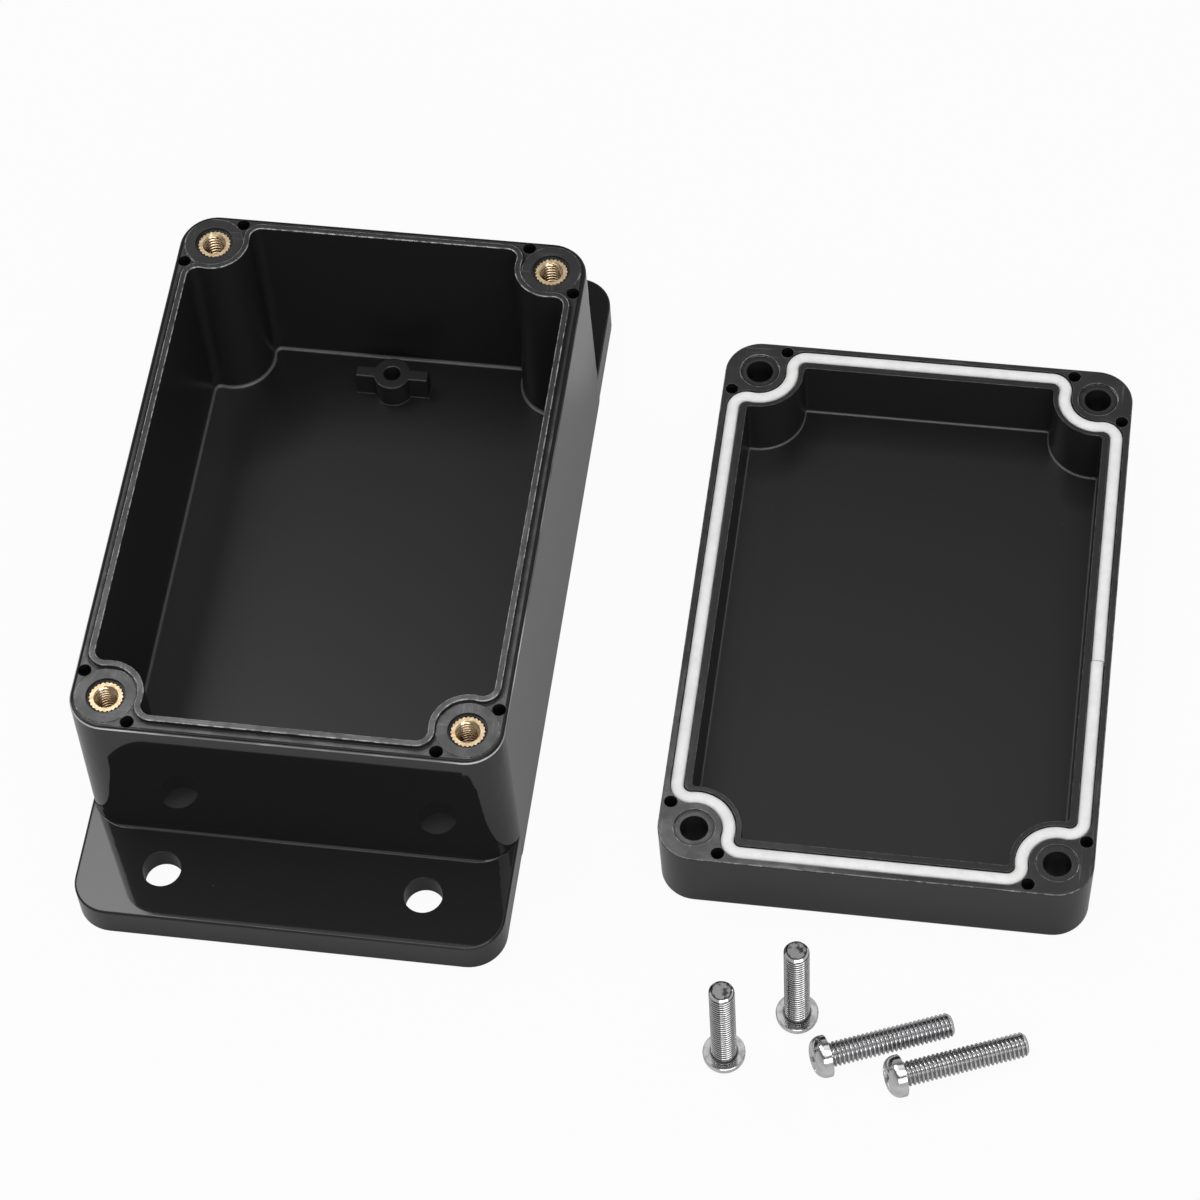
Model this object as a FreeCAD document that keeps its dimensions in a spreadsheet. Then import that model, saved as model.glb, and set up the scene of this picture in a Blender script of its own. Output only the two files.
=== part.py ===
import FreeCAD, Part
import Sketcher
import math
import os
from FreeCAD import Placement, Rotation, Vector

# Sealed plastic project box with mounting ears, opened: the tub stands on its mounting
# plate, the lid lies beside it on its outer face, and its four screws are put down in front
# of the lid, two on their heads and two on their sides.
# Millimetres and degrees. X runs along the short side, Y along the long side, Z is up.
# The origin is the middle of the tub's underside.

DIMENSIONS = {
    # Tub, outside
    "rim_width": 68.0,            # short side at the rim
    "rim_length": 100.0,          # long side at the rim
    "rim_corner": 6.0,            # plan radius of the corners
    "base_height": 36.0,          # table to the rim's flat land
    "draft_angle": 1.0,           # draft of the moulded walls
    "end_draft_angle": 0.25,      # the tub's end walls stand nearly upright
    "rim_band": 0.6,              # upright band under the rim, above the drafted walls
    "rim_step_width": 0.35,       # ledge left round the land
    "rim_step_depth": 0.35,
    "rim_edge_round": 0.3,        # round of the ledge's outer edge
    # Mounting plate with its two ears
    "plate_length": 132.0,
    "plate_depth": 6.0,
    "plate_corner": 6.0,
    "plate_edge_round": 0.4,      # round of the ears' upper edge
    "foot_flare": 0.4,            # small flare where an end wall meets an ear
    "skirt_width": 2.5,           # wall left round the hollow underside
    "underside_recess": 2.0,
    "fixing_spacing_x": 42.0,
    "fixing_spacing_y": 114.5,
    "fixing_radius": 3.1,
    # Tub, inside
    "tub_wall": 2.65,
    "floor_thickness": 2.5,
    "floor_fillet": 0.6,
    "cavity_corner": 1.8,         # plan radius where a wall runs into a corner column
    "lip_width": 1.0,             # raised lip that presses into the gasket
    "lip_height": 0.9,
    "lip_round": 0.2,
    # Corner columns and their inserts
    "insert_spacing_x": 56.5,
    "insert_spacing_y": 88.5,
    "column_radius": 6.0,
    "column_pad_radius": 4.8,     # slightly proud face round each insert
    "column_pad_height": 0.15,
    "insert_recess_radius": 3.1,
    "insert_recess_depth": 0.35,
    "insert_radius": 2.75,
    "insert_length": 8.0,
    "insert_bore_radius": 1.65,
    "insert_mouth_radius": 2.0,
    "insert_mouth_depth": 0.4,
    "insert_waist_radius": 2.35,
    "insert_waist_width": 1.4,
    "insert_edge": 0.25,          # chamfer at both ends
    "knurl_teeth": 24,
    "knurl_depth": 0.18,
    "knurl_half_width": 0.2,
    "insert_clearance": 0.02,
    "screw_runout_radius": 2.2,
    "screw_runout_depth": 7.0,    # blind hole under each insert for the screw's tip
    # Blind relief holes beside each corner, two to a corner
    "relief_offset": 4.2,
    "relief_radius": 1.05,
    "relief_depth": 8.0,
    # Screw posts on the tub's floor
    "post_spacing": 80.0,
    "post_radius": 3.25,
    "post_height": 4.8,
    "post_pilot_radius": 1.35,
    "post_pilot_depth": 4.0,
    "post_edge_round": 0.25,      # round of the posts' upper edges and of their pilots
    "wing_span": 12.4,            # two ribs that stiffen each post
    "wing_thickness": 2.2,
    # Lid
    "lid_height": 14.0,
    "lid_skin": 2.0,
    "lid_wall": 4.45,
    "lid_column_radius": 7.4,
    "lid_cavity_corner": 0.7,
    "lid_floor_fillet": 0.35,
    "lid_edge_round": 1.0,        # round of the lid's outer face
    "lid_rim_round": 0.25,
    "groove_width": 2.3,
    "groove_depth": 1.9,
    "lid_hole_radius": 2.2,
    "lid_ring_radius": 3.25,
    "lid_ring_depth": 0.3,
    "counterbore_radius": 4.0,
    "counterbore_depth": 4.0,
    "lid_gap": 22.75,             # clear floor between the tub's rim and the lid's rim
    "lid_shift": -0.55,
    # Gasket
    "gasket_radius": 1.1,
    "gasket_clearance": 0.03,     # between the cord and the groove's floor
    # Screws
    "screw_radius": 1.98,
    "screw_length": 20.0,
    "screw_tip_chamfer": 0.5,
    "head_radius": 3.3,
    "head_height": 2.5,
    "head_side": 0.7,             # straight side under the dome
    "crown_radius": 1.9,          # flat on top of the dome
    "recess_arm": 1.75,           # cross recess, half length of an arm at the crown
    "recess_arm_width": 0.85,
    "recess_floor_arm": 0.7,
    "recess_floor_width": 0.5,
    "recess_depth": 1.5,
    # Where the screws were put down
    "standing_offset": 9.45,      # right standing screw, to the left of the lid's middle
    "standing_front_gap": 15.15,  # clear floor between its head and the lid
    "standing_pair_gap": 3.8,     # between the two standing heads, along X
    "standing_pair_step": 8.0,    # the left one stands this much further forward
    "lying_heading": 24.0,        # of the lying shanks, from +X towards +Y
    "lying_first_gap": 2.4,       # from the right standing head to the first lying head
    "lying_first_step": 0.4,
    "lying_pair_gap": 1.27,       # from the first lying shank to the second lying head
    "lying_pair_step": 9.8,       # the second lies this much further on along the heading
}

CORNERS = {
    "front_left": (-1, -1),
    "front_right": (1, -1),
    "rear_left": (-1, 1),
    "rear_right": (1, 1),
}

# Derived sizes, as expressions on the sheet
RIM_X = "Dims.rim_width / 2"
RIM_Y = "Dims.rim_length / 2"
STEP_LEVEL = "Dims.base_height - Dims.rim_step_depth"
BAND_LEVEL = f"{STEP_LEVEL} - Dims.rim_band"
FOOT_X = f"{RIM_X} + ({BAND_LEVEL} - Dims.plate_depth) * tan(Dims.draft_angle)"
FOOT_Y = f"{RIM_Y} + ({BAND_LEVEL} - Dims.plate_depth) * tan(Dims.end_draft_angle)"
FLOOR_LEVEL = "Dims.underside_recess + Dims.floor_thickness"
CAVITY_X = f"{RIM_X} - Dims.tub_wall"
CAVITY_Y = f"{RIM_Y} - Dims.tub_wall"
CAVITY_DEPTH = f"Dims.base_height - ({FLOOR_LEVEL})"
INSERT_X = "Dims.insert_spacing_x / 2"
INSERT_Y = "Dims.insert_spacing_y / 2"
PAD_LEVEL = "Dims.base_height + Dims.column_pad_height"
INSERT_TOP = "Dims.base_height - Dims.insert_recess_depth"
LID_CAVITY_X = f"{RIM_X} - Dims.lid_wall"
LID_CAVITY_Y = f"{RIM_Y} - Dims.lid_wall"
LID_X = f"2 * ({RIM_X}) + Dims.lid_gap"
SEAL_LINE = "Dims.lip_width / 2"
GASKET_LEVEL = "Dims.lid_height - Dims.groove_depth + Dims.gasket_radius + Dims.gasket_clearance"

# Places of the screws' heads on the table, each counted from the one before
STANDING_RIGHT_X = f"{LID_X} - Dims.standing_offset"
STANDING_RIGHT_Y = f"Dims.lid_shift - {RIM_Y} - Dims.standing_front_gap - Dims.head_radius"
STANDING_LEFT_X = f"{STANDING_RIGHT_X} - 2 * Dims.head_radius - Dims.standing_pair_gap"
STANDING_LEFT_Y = f"{STANDING_RIGHT_Y} - Dims.standing_pair_step"
HEADING_COS = "cos(Dims.lying_heading)"
HEADING_SIN = "sin(Dims.lying_heading)"
FIRST_ASIDE = "(2 * Dims.head_radius + Dims.lying_first_gap)"
LYING_LEFT_X = (f"{STANDING_RIGHT_X} + {FIRST_ASIDE} * {HEADING_SIN}"
                f" - Dims.lying_first_step * {HEADING_COS}")
LYING_LEFT_Y = (f"{STANDING_RIGHT_Y} - {FIRST_ASIDE} * {HEADING_COS}"
                f" - Dims.lying_first_step * {HEADING_SIN}")
NEXT_ASIDE = "(Dims.head_radius + Dims.screw_radius + Dims.lying_pair_gap)"
LYING_RIGHT_X = (f"{LYING_LEFT_X} + {NEXT_ASIDE} * {HEADING_SIN}"
                 f" + Dims.lying_pair_step * {HEADING_COS}")
LYING_RIGHT_Y = (f"{LYING_LEFT_Y} - {NEXT_ASIDE} * {HEADING_COS}"
                 f" + Dims.lying_pair_step * {HEADING_SIN}")

VOLUME_TOLERANCE = 1e-4
LEVEL_TOLERANCE = 1e-3

doc = FreeCAD.newDocument("project_box")
sheet = doc.addObject("Spreadsheet::Sheet", "Dims")
for row, (alias, value) in enumerate(DIMENSIONS.items(), start=1):
    sheet.set(f"A{row}", alias)
    sheet.set(f"B{row}", str(value))
    sheet.setAlias(f"B{row}", alias)
doc.recompute()


def number(expression):
    """The value that an expression has now, used for a sketch's first positions."""
    return float(sheet.evalExpression(expression))


def new_body(label):
    body = doc.addObject("PartDesign::Body", label)
    body.Label = label
    return body


def plane(body, role):
    return next(item for item in body.Origin.OriginFeatures if item.Role == role)


def new_sketch(body, name, level="0", role="XY_Plane"):
    """A sketch on one of the body's own planes, moved along the plane's normal."""
    sketch = body.newObject("Sketcher::SketchObject", name)
    sketch.AttachmentSupport = [(plane(body, role), "")]
    sketch.MapMode = "FlatFace"
    sketch.AttachmentOffset = Placement(Vector(0, 0, number(level)), Rotation())
    sketch.setExpression("AttachmentOffset.Base.z", level)
    return sketch


def driven(sketch, kind, where, expression):
    """A dimension of the sketch, bound to the sheet."""
    index = sketch.addConstraint(Sketcher.Constraint(kind, *where, number(expression)))
    sketch.setExpression(f"Constraints[{index}]", expression)


def place_point(sketch, geometry, point, x_sign, x, y_sign, y):
    """Dimension a point from the sketch's origin, on the given side of each axis."""
    for kind, sign, expression in (("DistanceX", x_sign, x), ("DistanceY", y_sign, y)):
        ends = (-1, 1, geometry, point) if sign > 0 else (geometry, point, -1, 1)
        driven(sketch, kind, ends, expression)


def arc_between(centre, start, end):
    """The shorter arc round a centre, from one point to another."""
    begin = math.atan2(start.y - centre.y, start.x - centre.x)
    finish = math.atan2(end.y - centre.y, end.x - centre.x)
    if (finish - begin) % (2 * math.pi) > math.pi:
        begin, finish = finish, begin
    circle = Part.Circle(centre, Vector(0, 0, 1), (start - centre).Length)
    return Part.ArcOfCircle(circle, begin, finish)


def closed_loop(sketch, edges):
    """Add edges that follow each other, joined end to end without a corner."""
    first = sketch.GeometryCount
    for edge in edges:
        sketch.addGeometry(edge, False)
    indices = list(range(first, first + len(edges)))
    for one, other in zip(indices, indices[1:] + indices[:1]):
        gap, end_one, end_other = min(
            ((sketch.getPoint(one, p) - sketch.getPoint(other, q)).Length, p, q)
            for p in (1, 2) for q in (1, 2))
        sketch.addConstraint(Sketcher.Constraint("Tangent", one, end_one, other, end_other))
    return indices


def equal_radii(sketch, arcs, expression):
    for arc in arcs[1:]:
        sketch.addConstraint(Sketcher.Constraint("Equal", arcs[0], arc))
    driven(sketch, "Radius", (arcs[0],), expression)


def four_walls(sketch, walls, half_x, half_y):
    """Square up and dimension a loop's straight sides: right, top, left, bottom."""
    right, top, left, bottom = walls
    for wall in (right, left):
        sketch.addConstraint(Sketcher.Constraint("Vertical", wall))
    for wall in (top, bottom):
        sketch.addConstraint(Sketcher.Constraint("Horizontal", wall))
    driven(sketch, "DistanceX", (-1, 1, right, 1), half_x)
    driven(sketch, "DistanceX", (left, 1, -1, 1), half_x)
    driven(sketch, "DistanceY", (-1, 1, top, 1), half_y)
    driven(sketch, "DistanceY", (bottom, 1, -1, 1), half_y)


def rounded_rectangle(sketch, half_x, half_y, corner):
    """A rectangle about the origin with rounded corners."""
    x, y, r = number(half_x), number(half_y), number(corner)
    edges = []
    for turn in range(4):
        a, b = (x, y) if turn % 2 == 0 else (y, x)
        spin = Rotation(Vector(0, 0, 1), 90 * turn)
        points = [Vector(a, r - b, 0), Vector(a, b - r, 0), Vector(a - r, b, 0)]
        start, end, after = [spin.multVec(point) for point in points]
        centre = spin.multVec(Vector(a - r, b - r, 0))
        edges.append(Part.LineSegment(start, end))
        edges.append(arc_between(centre, end, after))
    loop = closed_loop(sketch, edges)
    four_walls(sketch, loop[0::2], half_x, half_y)
    equal_radii(sketch, loop[1::2], corner)


def scalloped_outline(sketch, half_x, half_y, column, corner):
    """A rectangle about the origin that bends inwards round the four screw columns.

    Each corner of the loop has an arc about the screw's axis and a small arc on each side
    of it, which runs into the straight walls.
    """
    x, y = number(half_x), number(half_y)
    big, small = number(column), number(corner)
    axis_x, axis_y = number(INSERT_X), number(INSERT_Y)
    reach = big + small
    side_centre = Vector(x - small, axis_y - math.sqrt(reach**2 - (x - small - axis_x)**2), 0)
    end_centre = Vector(axis_x - math.sqrt(reach**2 - (y - small - axis_y)**2), y - small, 0)
    axis = Vector(axis_x, axis_y, 0)
    side_join = axis + (side_centre - axis) * (big / reach)
    end_join = axis + (end_centre - axis) * (big / reach)

    def corner_points(x_sign, y_sign):
        points = [Vector(x, side_centre.y, 0), side_centre, side_join, axis, end_join,
                  end_centre, Vector(end_centre.x, y, 0)]
        return [Vector(x_sign * p.x, y_sign * p.y, 0) for p in points]

    order = [(1, 1), (-1, 1), (-1, -1), (1, -1)]
    rounds = []
    for x_sign, y_sign in order:
        points = corner_points(x_sign, y_sign)
        rounds.append(points if x_sign == y_sign else points[::-1])
    edges = []
    previous = rounds[-1]
    for points in rounds:
        edges.append(Part.LineSegment(previous[6], points[0]))
        edges.append(arc_between(points[1], points[0], points[2]))
        edges.append(arc_between(points[3], points[2], points[4]))
        edges.append(arc_between(points[5], points[4], points[6]))
        previous = points
    loop = closed_loop(sketch, edges)
    four_walls(sketch, loop[0::4], half_x, half_y)
    columns = loop[2::4]
    for arc, (x_sign, y_sign) in zip(columns, order):
        place_point(sketch, arc, 3, x_sign, INSERT_X, y_sign, INSERT_Y)
    equal_radii(sketch, columns, column)
    equal_radii(sketch, loop[1::4] + loop[3::4], corner)


def grown_outline(sketch, half_x, half_y, column, corner, offset):
    """The scalloped outline again, moved outwards everywhere by the same distance."""
    scalloped_outline(sketch, f"{half_x} + {offset}", f"{half_y} + {offset}",
                      f"{column} - ({offset})", f"{corner} + {offset}")


def circles(sketch, places, radius):
    """Equal circles; each place is a side and a distance along X, then along Y."""
    added = []
    for x_sign, x, y_sign, y in places:
        centre = Vector(x_sign * number(x), y_sign * number(y), 0)
        circle = Part.Circle(centre, Vector(0, 0, 1), number(radius))
        index = sketch.addGeometry(circle, False)
        place_point(sketch, index, 3, x_sign, x, y_sign, y)
        added.append(index)
    equal_radii(sketch, added, radius)


def four_places(x, y):
    return [(x_sign, x, y_sign, y) for x_sign, y_sign in CORNERS.values()]


def polygon(sketch, points):
    """A closed loop of straight sides; each point is a side and a distance along X and Y."""
    vectors = [Vector(xs * number(x), ys * number(y), 0) for xs, x, ys, y in points]
    count = len(points)
    for index in range(count):
        sketch.addGeometry(Part.LineSegment(vectors[index], vectors[(index + 1) % count]), False)
    for index in range(count):
        following = (index + 1) % count
        sketch.addConstraint(Sketcher.Constraint("Coincident", index, 2, following, 1))
    for index, place in enumerate(points):
        place_point(sketch, index, 1, *place)


def extrude(body, kind, sketch, name, length, backwards=False, drafted=0):
    """Pad or pocket a sketch. Drafted is 1 for walls that spread, -1 for walls that close in."""
    before = body_volume(body)
    feature = body.newObject(f"PartDesign::{kind}", name)
    feature.Profile = (sketch, [""])
    feature.Length = number(length)
    feature.setExpression("Length", length)
    feature.Reversed = backwards
    if drafted:
        feature.TaperAngle = drafted * number("Dims.draft_angle")
        feature.setExpression("TaperAngle", f"{drafted} * Dims.draft_angle")
    settle(body, feature)
    check_change(name, kind == "Pad", before, body_volume(body))
    return feature


def loft(body, kind, sketches, name):
    before = body_volume(body)
    feature = body.newObject(f"PartDesign::{kind}Loft", name)
    feature.Profile = (sketches[0], [""])
    feature.Sections = [(sketch, [""]) for sketch in sketches[1:]]
    feature.Ruled = True
    settle(body, feature)
    check_change(name, kind == "Additive", before, body_volume(body))
    return feature


def revolve(body, sketch, name):
    feature = body.newObject("PartDesign::Revolution", name)
    feature.Profile = (sketch, [""])
    feature.ReferenceAxis = (sketch, ["V_Axis"])
    feature.Angle = 360
    settle(body, feature)
    return feature


def round_edges(body, name, radius, wanted):
    """Fillet the edges of the body that the wanted function picks."""
    base = body.Tip
    names = [f"Edge{i}" for i, edge in enumerate(base.Shape.Edges, start=1) if wanted(edge)]
    feature = body.newObject("PartDesign::Fillet", name)
    feature.Base = (base, names)
    feature.Radius = number(radius)
    feature.setExpression("Radius", radius)
    settle(body, feature)
    return feature


def settle(body, feature):
    for item in body.Group:
        if item.isDerivedFrom("Sketcher::SketchObject"):
            item.Visibility = False
    body.Tip = feature
    doc.recompute()
    if feature.Shape.isNull() or not feature.Shape.isValid():
        raise RuntimeError(f"{feature.Label} has no valid shape")


def body_volume(body):
    tip = body.Tip
    return tip.Shape.Volume if tip is not None and not tip.Shape.isNull() else 0.0


def check_change(name, adds, before, after):
    change = after - before if adds else before - after
    if change < VOLUME_TOLERANCE:
        raise RuntimeError(f"{name} left the volume at {after:.3f}, from {before:.3f}")


def flat_at(level):
    """True for an edge that lies wholly in one horizontal plane."""
    height = number(level)

    def lies_there(edge):
        box = edge.BoundBox
        return max(abs(box.ZMin - height), abs(box.ZMax - height)) < LEVEL_TOLERANCE
    return lies_there


def put_down(body, x, y, height, turn):
    """Place a body; its place on the table follows the sheet."""
    body.Placement = Placement(Vector(number(x), number(y), height), turn)
    body.setExpression("Placement.Base.x", x)
    body.setExpression("Placement.Base.y", y)


def relief_holes(body, level, backwards=False):
    """Two blind holes beside each corner, one by the long wall and one by the end wall."""
    along = four_places(f"{INSERT_X} + Dims.relief_offset", f"{INSERT_Y} - Dims.relief_offset")
    across = four_places(f"{INSERT_X} - Dims.relief_offset", f"{INSERT_Y} + Dims.relief_offset")
    sketch = new_sketch(body, "relief_hole_sketch", level)
    circles(sketch, along + across, "Dims.relief_radius")
    extrude(body, "Pocket", sketch, "relief_holes", "Dims.relief_depth", backwards)


# Tub with its mounting ears, one moulding
base = new_body("enclosure_base")

plate_sketch = new_sketch(base, "plate_sketch")
rounded_rectangle(plate_sketch, FOOT_X, "Dims.plate_length / 2", "Dims.plate_corner")
extrude(base, "Pad", plate_sketch, "mounting_plate", "Dims.plate_depth")
round_edges(base, "plate_edge_round", "Dims.plate_edge_round", flat_at("Dims.plate_depth"))

wall_foot_sketch = new_sketch(base, "wall_foot_sketch")
rounded_rectangle(wall_foot_sketch, f"{RIM_X} + ({BAND_LEVEL}) * tan(Dims.draft_angle)",
                  f"{RIM_Y} + ({BAND_LEVEL}) * tan(Dims.end_draft_angle)", "Dims.rim_corner")
wall_top_sketch = new_sketch(base, "wall_top_sketch", BAND_LEVEL)
rounded_rectangle(wall_top_sketch, RIM_X, RIM_Y, "Dims.rim_corner")
loft(base, "Additive", [wall_foot_sketch, wall_top_sketch], "tub_walls")

band_sketch = new_sketch(base, "rim_band_sketch", BAND_LEVEL)
rounded_rectangle(band_sketch, RIM_X, RIM_Y, "Dims.rim_corner")
extrude(base, "Pad", band_sketch, "rim_band", "Dims.rim_band")
round_edges(base, "rim_ledge_round", "Dims.rim_edge_round", flat_at(STEP_LEVEL))

flare_foot_sketch = new_sketch(base, "flare_foot_sketch", "Dims.plate_depth")
rounded_rectangle(flare_foot_sketch, f"{FOOT_X} - Dims.foot_flare",
                  f"{FOOT_Y} + Dims.foot_flare", "Dims.rim_corner")
flare_top_sketch = new_sketch(base, "flare_top_sketch", "Dims.plate_depth + Dims.foot_flare")
rounded_rectangle(flare_top_sketch, f"{FOOT_X} - 2 * Dims.foot_flare",
                  f"{FOOT_Y} - Dims.foot_flare", "Dims.rim_corner")
loft(base, "Additive", [flare_foot_sketch, flare_top_sketch], "foot_flares")

land_sketch = new_sketch(base, "land_sketch", STEP_LEVEL)
rounded_rectangle(land_sketch, f"{RIM_X} - Dims.rim_step_width",
                  f"{RIM_Y} - Dims.rim_step_width", "Dims.rim_corner - Dims.rim_step_width")
extrude(base, "Pad", land_sketch, "rim_land", "Dims.rim_step_depth")

pad_sketch = new_sketch(base, "column_pad_sketch", "Dims.base_height")
circles(pad_sketch, four_places(INSERT_X, INSERT_Y), "Dims.column_pad_radius")
extrude(base, "Pad", pad_sketch, "column_pads", "Dims.column_pad_height")

cavity_sketch = new_sketch(base, "cavity_sketch", "Dims.base_height")
scalloped_outline(cavity_sketch, CAVITY_X, CAVITY_Y, "Dims.column_radius",
                  "Dims.cavity_corner")
extrude(base, "Pocket", cavity_sketch, "cavity", CAVITY_DEPTH, drafted=-1)
round_edges(base, "cavity_floor_round", "Dims.floor_fillet", flat_at(FLOOR_LEVEL))

lip_sketch = new_sketch(base, "lip_sketch", "Dims.base_height")
scalloped_outline(lip_sketch, CAVITY_X, CAVITY_Y, "Dims.column_radius", "Dims.cavity_corner")
grown_outline(lip_sketch, CAVITY_X, CAVITY_Y, "Dims.column_radius", "Dims.cavity_corner",
              "Dims.lip_width")
extrude(base, "Pad", lip_sketch, "sealing_lip", "Dims.lip_height")
round_edges(base, "sealing_lip_round", "Dims.lip_round",
            flat_at("Dims.base_height + Dims.lip_height"))

recess_sketch = new_sketch(base, "insert_recess_sketch", PAD_LEVEL)
circles(recess_sketch, four_places(INSERT_X, INSERT_Y), "Dims.insert_recess_radius")
extrude(base, "Pocket", recess_sketch, "insert_recesses", f"{PAD_LEVEL} - ({INSERT_TOP})")

seat_sketch = new_sketch(base, "insert_seat_sketch", INSERT_TOP)
circles(seat_sketch, four_places(INSERT_X, INSERT_Y),
        "Dims.insert_radius + Dims.insert_clearance")
extrude(base, "Pocket", seat_sketch, "insert_seats", "Dims.insert_length")

runout_sketch = new_sketch(base, "screw_runout_sketch", f"{INSERT_TOP} - Dims.insert_length")
circles(runout_sketch, four_places(INSERT_X, INSERT_Y), "Dims.screw_runout_radius")
extrude(base, "Pocket", runout_sketch, "screw_runouts", "Dims.screw_runout_depth")

relief_holes(base, "Dims.base_height")

post_sketch = new_sketch(base, "floor_post_sketch", FLOOR_LEVEL)
post_places = [(1, "0", sign, "Dims.post_spacing / 2") for sign in (-1, 1)]
circles(post_sketch, post_places, "Dims.post_radius")
extrude(base, "Pad", post_sketch, "floor_posts", "Dims.post_height")

for name, y_sign in (("front_wings", -1), ("rear_wings", 1)):
    wing_sketch = new_sketch(base, f"{name}_sketch", FLOOR_LEVEL)
    near = "Dims.post_spacing / 2 - Dims.wing_thickness / 2"
    far = "Dims.post_spacing / 2 + Dims.wing_thickness / 2"
    polygon(wing_sketch, [(-1, "Dims.wing_span / 2", y_sign, near),
                          (1, "Dims.wing_span / 2", y_sign, near),
                          (1, "Dims.wing_span / 2", y_sign, far),
                          (-1, "Dims.wing_span / 2", y_sign, far)])
    extrude(base, "Pad", wing_sketch, name, "Dims.post_height")

pilot_sketch = new_sketch(base, "post_pilot_sketch", f"{FLOOR_LEVEL} + Dims.post_height")
circles(pilot_sketch, post_places, "Dims.post_pilot_radius")
extrude(base, "Pocket", pilot_sketch, "post_pilots", "Dims.post_pilot_depth")
round_edges(base, "post_edge_round", "Dims.post_edge_round",
            flat_at(f"{FLOOR_LEVEL} + Dims.post_height"))

underside_sketch = new_sketch(base, "underside_sketch")
rounded_rectangle(underside_sketch, f"{FOOT_X} - Dims.skirt_width",
                  "Dims.plate_length / 2 - Dims.skirt_width",
                  "Dims.plate_corner - Dims.skirt_width")
extrude(base, "Pocket", underside_sketch, "hollow_underside", "Dims.underside_recess", True)

fixing_sketch = new_sketch(base, "fixing_hole_sketch", "Dims.plate_depth")
circles(fixing_sketch, four_places("Dims.fixing_spacing_x / 2", "Dims.fixing_spacing_y / 2"),
        "Dims.fixing_radius")
extrude(base, "Pocket", fixing_sketch, "fixing_holes", "Dims.plate_depth")

# Lid, one moulding, lying on its outer face with its rim up
lid = new_body("lid")

lid_rim_sketch = new_sketch(lid, "lid_rim_sketch", "Dims.lid_height")
rounded_rectangle(lid_rim_sketch, RIM_X, RIM_Y, "Dims.rim_corner")
extrude(lid, "Pad", lid_rim_sketch, "lid_shell", "Dims.lid_height", True, -1)
round_edges(lid, "lid_face_round", "Dims.lid_edge_round", flat_at("0"))
round_edges(lid, "lid_rim_round", "Dims.lid_rim_round", flat_at("Dims.lid_height"))

lid_cavity_sketch = new_sketch(lid, "lid_cavity_sketch", "Dims.lid_height")
scalloped_outline(lid_cavity_sketch, LID_CAVITY_X, LID_CAVITY_Y, "Dims.lid_column_radius",
                  "Dims.lid_cavity_corner")
extrude(lid, "Pocket", lid_cavity_sketch, "lid_cavity", "Dims.lid_height - Dims.lid_skin",
        drafted=-1)
round_edges(lid, "lid_floor_round", "Dims.lid_floor_fillet", flat_at("Dims.lid_skin"))

groove_sketch = new_sketch(lid, "gasket_groove_sketch", "Dims.lid_height")
for side in ("+", "-"):
    grown_outline(groove_sketch, CAVITY_X, CAVITY_Y, "Dims.column_radius",
                  "Dims.cavity_corner", f"{SEAL_LINE} {side} Dims.groove_width / 2")
extrude(lid, "Pocket", groove_sketch, "gasket_groove", "Dims.groove_depth")

ring_sketch = new_sketch(lid, "lid_ring_sketch", "Dims.lid_height")
circles(ring_sketch, four_places(INSERT_X, INSERT_Y), "Dims.lid_ring_radius")
extrude(lid, "Pocket", ring_sketch, "lid_rings", "Dims.lid_ring_depth")

lid_hole_sketch = new_sketch(lid, "lid_hole_sketch", "Dims.lid_height")
circles(lid_hole_sketch, four_places(INSERT_X, INSERT_Y), "Dims.lid_hole_radius")
extrude(lid, "Pocket", lid_hole_sketch, "lid_screw_holes", "Dims.lid_height")

counterbore_sketch = new_sketch(lid, "counterbore_sketch")
circles(counterbore_sketch, four_places(INSERT_X, INSERT_Y), "Dims.counterbore_radius")
extrude(lid, "Pocket", counterbore_sketch, "screw_head_counterbores",
        "Dims.counterbore_depth", True)

relief_holes(lid, "Dims.lid_height")

# Gasket, a soft cord laid in the lid's groove
gasket = new_body("lid_gasket")
gasket_path = new_sketch(gasket, "gasket_path", GASKET_LEVEL)
grown_outline(gasket_path, CAVITY_X, CAVITY_Y, "Dims.column_radius", "Dims.cavity_corner",
              SEAL_LINE)
gasket_section = new_sketch(gasket, "gasket_section", role="XZ_Plane")
circles(gasket_section, [(1, f"{CAVITY_X} + {SEAL_LINE}", 1, GASKET_LEVEL)],
        "Dims.gasket_radius")
gasket_cord = gasket.newObject("PartDesign::AdditivePipe", "gasket_cord")
gasket_cord.Profile = (gasket_section, [""])
gasket_cord.Spine = (gasket_path, [f"Edge{i + 1}" for i in range(gasket_path.GeometryCount)])
settle(gasket, gasket_cord)

for part in (lid, gasket):
    put_down(part, LID_X, "Dims.lid_shift", 0, Rotation())


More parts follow.
